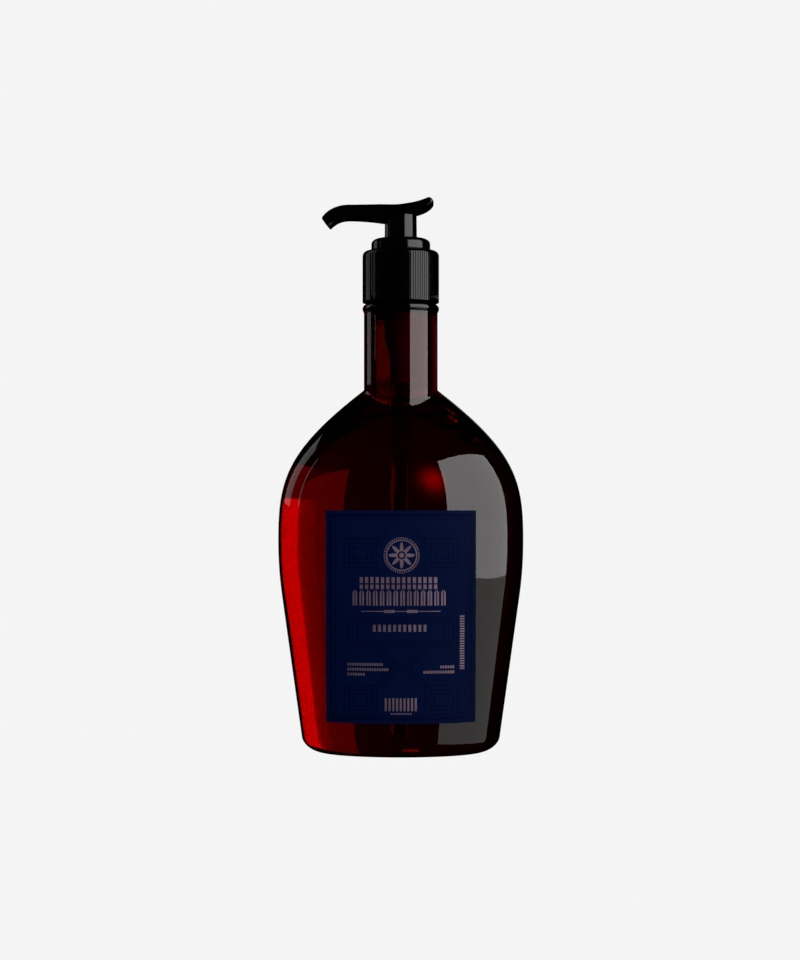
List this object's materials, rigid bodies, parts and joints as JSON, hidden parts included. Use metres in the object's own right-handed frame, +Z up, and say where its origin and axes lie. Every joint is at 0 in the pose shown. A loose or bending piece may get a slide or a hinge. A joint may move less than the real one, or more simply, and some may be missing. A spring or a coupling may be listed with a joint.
{
  "type": "aftershave bottle",
  "caption": "Oval see-through bottle of aftershave with two labels and a ribbed screw closure that carries a lotion pump with a swivelling press-down head.",
  "frame": {"origin": "centre of the base, on the plane the bottle stands on", "axes": "+Z up along the pump's axis, -X towards the spout, -Y towards the front label"},
  "size_m": [0.093, 0.057, 0.2108],
  "materials": {
    "red_pet": "deep red see-through PET with a high gloss",
    "liquid": "clear deep red liquid",
    "label_film": "navy film with tone-on-tone lines and metallic copper print",
    "black_ribbed": "black moulded polypropylene with fine upright ribs",
    "black_plastic": "smooth black moulded polypropylene",
    "natural_plastic": "milky natural polypropylene",
    "white_plastic": "soft white polyethylene",
    "seal_foam": "fine white foam washer",
    "steel": "bright stainless steel"
  },
  "bodies": {
    "bottle": {"bottle": "red_pet", "aftershave_fill": "liquid", "front_label": "label_film", "back_label": "label_film"},
    "pump_core": {"housing": "natural_plastic", "gasket": "seal_foam", "chaplet": "black_plastic", "dip_tube": "natural_plastic", "spring": "steel"},
    "closure": {"closure": "black_ribbed"},
    "plunger": {"stem": "natural_plastic", "piston_rod": "natural_plastic"},
    "piston_seal": {"piston": "white_plastic"},
    "check_ball": {"inlet_ball": "steel"},
    "head": {"actuator": "black_plastic"}
  },
  "joints": [
    {"name": "pump_lift", "type": "slide", "parent": "bottle", "child": "pump_core", "axis": [0, 0, 1], "range_m": [0, 0.00476]},
    {"name": "closure_turn", "type": "hinge", "parent": "pump_core", "child": "closure", "pos_m": [0, 0, 0.18], "axis": [0, 0, 1], "range_deg": [0, 540]},
    {"name": "head_press", "type": "slide", "parent": "pump_core", "child": "plunger", "axis": [0, 0, -1], "range_m": [0, 0.0055], "stiffness_N_per_m": 1400, "springref_m": -0.003, "deforming": ["spring"]},
    {"name": "head_swivel", "type": "hinge", "parent": "plunger", "child": "head", "pos_m": [0, 0, 0.2], "axis": [0, 0, 1], "continuous": true},
    {"name": "piston_slip", "type": "slide", "parent": "plunger", "child": "piston_seal", "axis": [0, 0, 1], "range_m": [0, 0.001]},
    {"name": "inlet_ball_lift", "type": "slide", "parent": "pump_core", "child": "check_ball", "axis": [0, 0, 1], "range_m": [0, 0.0011]}
  ],
  "couplings": [
    {"joint": "closure_turn", "follows": "pump_lift", "rad_per_m": 1979}
  ]
}
